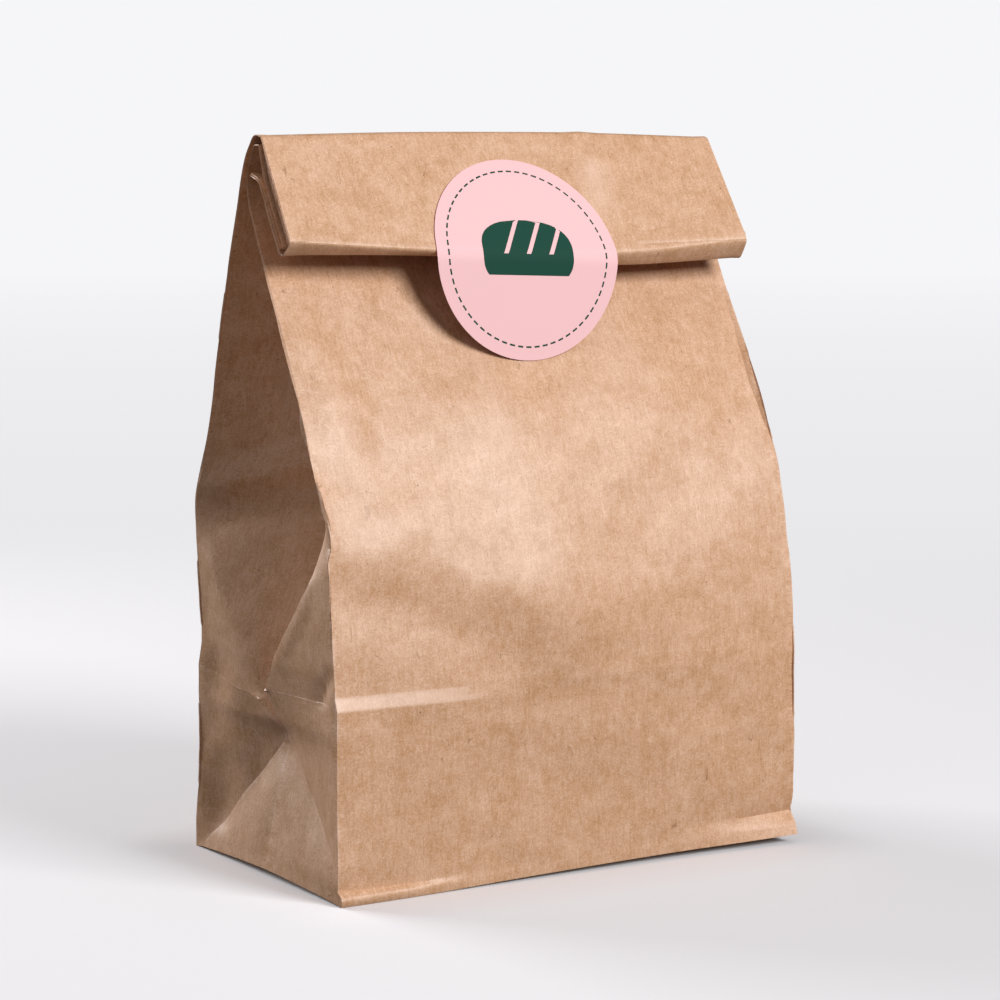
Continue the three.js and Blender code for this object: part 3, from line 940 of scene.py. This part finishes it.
def bottom_flap(name, corners, layer):
    """A four-cornered flap, given by its corners seen from above, and which layer up from the lowest."""
    a, b, c, d = [np.array(corner, float) for corner in corners]
    vertices = []
    for j in range(BOTTOM_ROWS + 1):
        for i in range(BOTTOM_STEPS + 1):
            s, t = i / BOTTOM_STEPS, j / BOTTOM_ROWS
            x, y = (a * (1 - s) + b * s) * (1 - t) + (d * (1 - s) + c * s) * t
            height = BOTTOM_HEIGHT + layer * FLAP_GAP
            vertices.append(Vector((x, y, height + foot_lift(x, y))) * MM)
    # Its outside is its underside, so the faces are turned over.
    faces = [(p, s, r, q) for p, q, r, s in grid_faces(BOTTOM_ROWS, BOTTOM_STEPS)]
    flat_places = [(v.x / MM + BOTTOM_PLACE, v.y / MM) for v in vertices]
    flap = put_in_scene(sheet_of_paper(name, vertices, faces, flat_places))
    give_thickness(flap, BOTTOM_PAPER, -1)
    flap.data.materials.append(KRAFT)
    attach(flap, "root")


edge_x = HALF_WIDTH - BOTTOM_INSET
for sign, name in [(-1, "left_bottom_flap"), (1, "right_bottom_flap")]:
    outer, inner = sign * edge_x, sign * (edge_x - SIDE_FLAP_REACH)
    corners = [(outer, BOTTOM_FRONT), (inner, -3), (inner, 4), (outer, BOTTOM_BACK)]
    bottom_flap(name, corners if sign < 0 else corners[::-1], 3)
slant_x = edge_x - FLAP_SLANT
bottom_flap("back_bottom_flap", [
    (-slant_x, -10), (slant_x, -10), (edge_x, BOTTOM_BACK), (-edge_x, BOTTOM_BACK)], 2)
bottom_flap("front_bottom_flap", [
    (-edge_x, BOTTOM_FRONT), (edge_x, BOTTOM_FRONT), (slant_x, 12), (-slant_x, 12)], 1)


# ---- The sticker ----
# A round label of coated paper, 60 mm across. Its upper half is stuck to the flap, and the lower half
# hangs to the front of the bag.

STICKER_RADIUS = 30.0
STICKER_PAPER = 0.15
STICKER_LIFT = 0.3
BEND_RADIUS = 11.0
BEND_HALF_LENGTH = 30


def sticker_frame():
    """The middle of the bend, the direction along it, and the directions up the flap and down."""
    left, right = [Vector((x, *roll_at("foot", x))) for x in (-BEND_HALF_LENGTH, BEND_HALF_LENGTH)]
    bend = (left + right) / 2
    across = (right - left).normalized()
    touch_z = bend.z - STICKER_RADIUS + 1
    touch = Vector((0, front_at(0, touch_z)[0] - STICKER_LIFT, touch_z))
    up = Vector((0, *roll_at("ridge_front", 0))) - bend
    down = touch - bend
    up -= across * up.dot(across)
    down -= across * down.dot(across)
    return bend, across, up.normalized(), down.normalized()


bend, across, up, down = sticker_frame()
out_of_flap = across.cross(up).normalized()
bend_angle = math.pi - up.angle(down)
half_arc = BEND_RADIUS * bend_angle / 2


def on_sticker(side, height, lift):
    """The place of a point of the label: across it, up it from the bend, and above its paper."""
    turned = min(max(half_arc - height, 0), 2 * half_arc) / BEND_RADIUS
    step = BEND_RADIUS * math.sin(turned)
    fall = BEND_RADIUS * (1 - math.cos(turned))
    point = bend + up * (half_arc + max(height - half_arc, 0) - step) - out_of_flap * fall
    point += down * max(-height - half_arc, 0)
    normal = out_of_flap * math.cos(turned) - up * math.sin(turned)
    return point + across * side + normal * (STICKER_LIFT + lift)


def disc_mesh(name, circles, spokes):
    flat_places = [(0, 0)]
    for circle in range(1, circles + 1):
        for spoke in range(spokes):
            angle = 2 * math.pi * spoke / spokes
            reach = STICKER_RADIUS * circle / circles
            flat_places.append((reach * math.cos(angle), reach * math.sin(angle)))

    def at(circle, spoke):
        return 1 + (circle - 1) * spokes + spoke % spokes

    faces = []
    for spoke in range(spokes):
        faces.append((0, at(1, spoke), at(1, spoke + 1)))
        for circle in range(1, circles):
            faces.append((
                at(circle, spoke), at(circle + 1, spoke), at(circle + 1, spoke + 1), at(circle, spoke + 1)))
    vertices = [on_sticker(side, height, 0) * MM for side, height in flat_places]
    return sheet_of_paper(name, vertices, faces, flat_places)


def plain_print(name, colour, roughness, specular):
    material, add = new_material(name)
    surface = add("BsdfPrincipled", in_Roughness=roughness)
    surface.inputs["Specular IOR Level"].default_value = specular
    surface.inputs["Base Color"].default_value = linear(colour)
    add("OutputMaterial", [(surface, "Surface")])
    return material


sticker = put_in_scene(disc_mesh("round_sticker", 30, 128))
give_thickness(sticker, STICKER_PAPER, 1)
smooth_but(sticker, 30)
# Coated label stock, offset printed a flat pale pink: smooth and even, with a satin gloss.
sticker.data.materials.append(plain_print("label_paper_pink_print", "#F2C0C2", 0.58, 0.5))
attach(sticker, "root")
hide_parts("closure_sticker")


# ---- The sticker's print ----
# A plain design in dark green ink: a loaf with three slashes inside a ring of short dashes. The ring is
# repeated by Geometry Nodes on the flat label. Loaf and ring are then laid on the bent label.

RING = {"Dash count": 60, "Ring radius": 26.2 * MM, "Dash length": 1.7 * MM, "Dash width": 0.5 * MM}
INK_LIFT = STICKER_PAPER + 0.03
LOAF_HALF_WIDTH = 15.0
LOAF_FOOT = -7.5
LOAF_TOP = 9.0
LOAF_MIDDLE = 1.5  # of the label, above its bend
LOAF_FLARE = 0.12  # how much narrower its foot is
LOAF_POWER = 2.4  # how square its crown is
SLASH = {"foot": -1.5, "lean": 0.55, "half": 0.75, "places": (-7.5, 0.0, 7.5)}
# Offset printing ink, laid down as an even dark green film with little gloss of its own.
INK = plain_print("green_ink_offset_print", "#0F4335", 0.7, 0.2)


def dash_ring_tree():
    """Places a dash on every point of a circle, turned along it."""
    tree = bpy.data.node_groups.new("dash_ring", "GeometryNodeTree")
    for name, value in RING.items():
        kind = "NodeSocketInt" if isinstance(value, int) else "NodeSocketFloat"
        tree.interface.new_socket(name, in_out="INPUT", socket_type=kind)
    tree.interface.new_socket("Geometry", in_out="OUTPUT", socket_type="NodeSocketGeometry")
    add = partial(add_node, tree.nodes)
    given = add("NodeGroupInput")
    circle = add("GeometryNodeMeshCircle", [
        (given.outputs["Dash count"], "Vertices"), (given.outputs["Ring radius"], "Radius")])
    dash = add("GeometryNodeMeshGrid", [
        (given.outputs["Dash length"], "Size X"), (given.outputs["Dash width"], "Size Y")],
        in_2=5, in_3=2)
    place = add("GeometryNodeInputPosition")
    turned = add("FunctionNodeAlignRotationToVector", [(place, "Vector")], axis="Y", pivot_axis="Z")
    dashes = add("GeometryNodeInstanceOnPoints", [
        (circle, "Points"), (dash, "Instance"), (turned, "Rotation")])
    real = add("GeometryNodeRealizeInstances", [(dashes, 0)])
    inked = add("GeometryNodeSetMaterial", [(real, 0)])
    inked.inputs["Material"].default_value = INK
    add("NodeGroupOutput", [(inked, 0)])
    return tree


def finish_print(piece, middle):
    """Lays a flat drawing on the bent label, its middle this far above the bend."""
    for vertex in piece.data.vertices:
        side, height = vertex.co.x / MM, vertex.co.y / MM
        vertex.co = on_sticker(side, height + middle, INK_LIFT) * MM
    piece.data.materials.clear()
    piece.data.materials.append(INK)
    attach(piece, "root")


ring_piece = put_in_scene(bpy.data.meshes.new("dash_ring"))
builder = ring_piece.modifiers.new("dash_ring", "NODES")
builder.node_group = dash_ring_tree()
for item in builder.node_group.interface.items_tree:
    if item.in_out == "INPUT":
        builder[item.identifier] = RING[item.name]
apply_modifiers(ring_piece)
finish_print(ring_piece, 0)


def loaf_half_width(height):
    """Half the loaf's width at a height: flat at its foot, a round crown above."""
    if height < 0:
        return LOAF_HALF_WIDTH * (1 - LOAF_FLARE * (height / LOAF_FOOT) ** 4)
    return LOAF_HALF_WIDTH * max(1 - (height / LOAF_TOP) ** LOAF_POWER, 0) ** (1 / LOAF_POWER)


def outline_left(height):
    return -loaf_half_width(height)


def slash_side(place, side, height):
    """Where a side of a slash lies at a height, kept inside the outline."""
    x = place + SLASH["lean"] * (height - SLASH["foot"]) + side * SLASH["half"]
    return max(outline_left(height), min(loaf_half_width(height), x))


def loaf_mesh(name):
    """Strips between the loaf's outline and its slashes, each between two functions of height."""
    rows, across = 16, 8
    sides = [partial(slash_side, place, side) for place in SLASH["places"] for side in (-1, 1)]
    borders = [outline_left, *sides, loaf_half_width]
    strips = [(outline_left, loaf_half_width, LOAF_FOOT, SLASH["foot"])]
    strips += [(*pair, SLASH["foot"], LOAF_TOP - 0.02) for pair in zip(borders[::2], borders[1::2])]
    vertices = []
    faces = []
    for left, right, low, high in strips:
        faces += grid_faces(rows, across, len(vertices))
        for row in range(rows + 1):
            height = low + (high - low) * row / rows
            a, b = left(height), right(height)
            vertices += [((a + (b - a) * step / across) * MM, height * MM, 0) for step in range(across + 1)]
    loaf = bpy.data.meshes.new(name)
    loaf.from_pydata(vertices, [], faces)
    return loaf


loaf = put_in_scene(loaf_mesh("loaf_print"))
finish_print(loaf, LOAF_MIDDLE)


# ---- The studio ----
# A white table in a bright surround, and four soft lights: the key to the right of the front, one
# overhead, one behind to the left and a weak one to the left of the front. None is part of the bag.

SURROUND = "#F6F6F8"
TABLE_RADIUS = 6.0  # metres
TABLE_CORNERS = 96
TABLE_GLOW = 0.4
TABLE_TONE = "#E9E8EA"
BAG_MIDDLE = Vector((0, 0, 0.1))


def studio_table():
    """Matt white table top that turns into the bright surround behind the bag. Distances in metres."""
    material, add = new_material("white_table_matt")
    place = add("TexCoord").outputs["Object"]
    behind = add("VectorMath", [(place, 0)], operation="DOT_PRODUCT",
                 in_1=(-camera_back.x, -camera_back.y, 0)).outputs["Value"]
    aside = add("VectorMath", [(place, 0)], operation="ABSOLUTE")
    beyond = add("VectorMath", [(aside, 0)], operation="SUBTRACT",
                 in_1=(HALF_WIDTH * MM, BACK_EDGE[0][1] * MM, 0))
    outside = add("VectorMath", [(beyond, 0)], operation="MAXIMUM", in_1=(0, 0, 0))
    from_foot = add("VectorMath", [(outside, 0)], operation="LENGTH").outputs["Value"]
    from_bag = add("VectorMath", [(place, 0)], operation="LENGTH").outputs["Value"]
    # It glows fully behind the bag and far from it, and a little just clear of the bag, so that the
    # bag's shadow stays pale.
    share = add("Value")
    share.outputs[0].default_value = 0
    for distance, start, end, most in [
        (behind, 0, 0.8, 1), (from_foot, 0, 0.03, TABLE_GLOW), (from_bag, 0.7, 1.5, 1),
    ]:
        part = add("MapRange", [(distance, 0)],
                   in_1=start, in_2=end, in_4=most, interpolation_type="SMOOTHSTEP")
        share = add("Math", [(share, 0), (part, 1)], operation="MAXIMUM")
    matt = add("BsdfDiffuse", in_Color=linear("#EEECEF"))
    distant = add("MapRange", [(behind, 0)], in_1=0.7, in_2=4)
    pale = add("Mix", [(distant, 0)], data_type="RGBA", in_6=linear(TABLE_TONE), in_7=linear(SURROUND))
    glow = add("Emission", [(pale.outputs[2], "Color")], in_Strength=1)
    blend = add("MixShader", [(share, 0), (matt, 1), (glow, 2)])
    add("OutputMaterial", [(blend, "Surface")])
    return material


table_mesh = bpy.data.meshes.new("table")
turns = [2 * math.pi * i / TABLE_CORNERS for i in range(TABLE_CORNERS)]
table_rim = [(TABLE_RADIUS * math.cos(turn), TABLE_RADIUS * math.sin(turn), 0) for turn in turns]
table_mesh.from_pydata(table_rim, [], [tuple(range(TABLE_CORNERS))])
table = put_in_scene(table_mesh)
table.data.materials.append(studio_table())
table.visible_diffuse = False  # the bag's gaps stay dark, as they do in the photograph
table.visible_glossy = False

world = bpy.data.worlds.new("surround")
bpy.context.scene.world = world
world.use_nodes = True
world.node_tree.nodes.clear()
sky = partial(add_node, world.node_tree.nodes)
seen = sky("Background", in_Color=linear(SURROUND), in_Strength=1.0)
lit = sky("Background", in_Color=linear("#F3F3F8"), in_Strength=0.08)
path = sky("LightPath")
both = sky("MixShader", [(path.outputs["Is Camera Ray"], 0), (lit, 1), (seen, 2)])
sky("OutputWorld", [(both, "Surface")])


def soft_light(name, direction, distance, size, level):
    """An area light whose full-on lit level on white, at the bag, is the level given."""
    way = Vector(direction).normalized()
    light = bpy.data.lights.new(name, "AREA")
    light.shape = "RECTANGLE"
    light.size, light.size_y = size
    light.energy = level * math.pi ** 2 * distance ** 2
    lamp = bpy.data.objects.new(name, light)
    lamp.location = way * distance + BAG_MIDDLE
    lamp.rotation_euler = way.to_track_quat("Z", "Y").to_euler()
    bpy.context.scene.collection.objects.link(lamp)


soft_light("key_softbox", (0.3, -0.8, 0.44), 2.6, (1.1, 1.1), 1.04)
soft_light("top_softbox", (0.05, -0.1, 1.0), 1.5, (1.4, 1.4), 0.14)
soft_light("back_left_softbox", (-0.4, 0.88, 0.42), 1.4, (0.8, 0.8), 0.95)
soft_light("front_left_softbox", (-0.9, -0.5, 0.35), 1.4, (1.2, 1.2), 0.13)
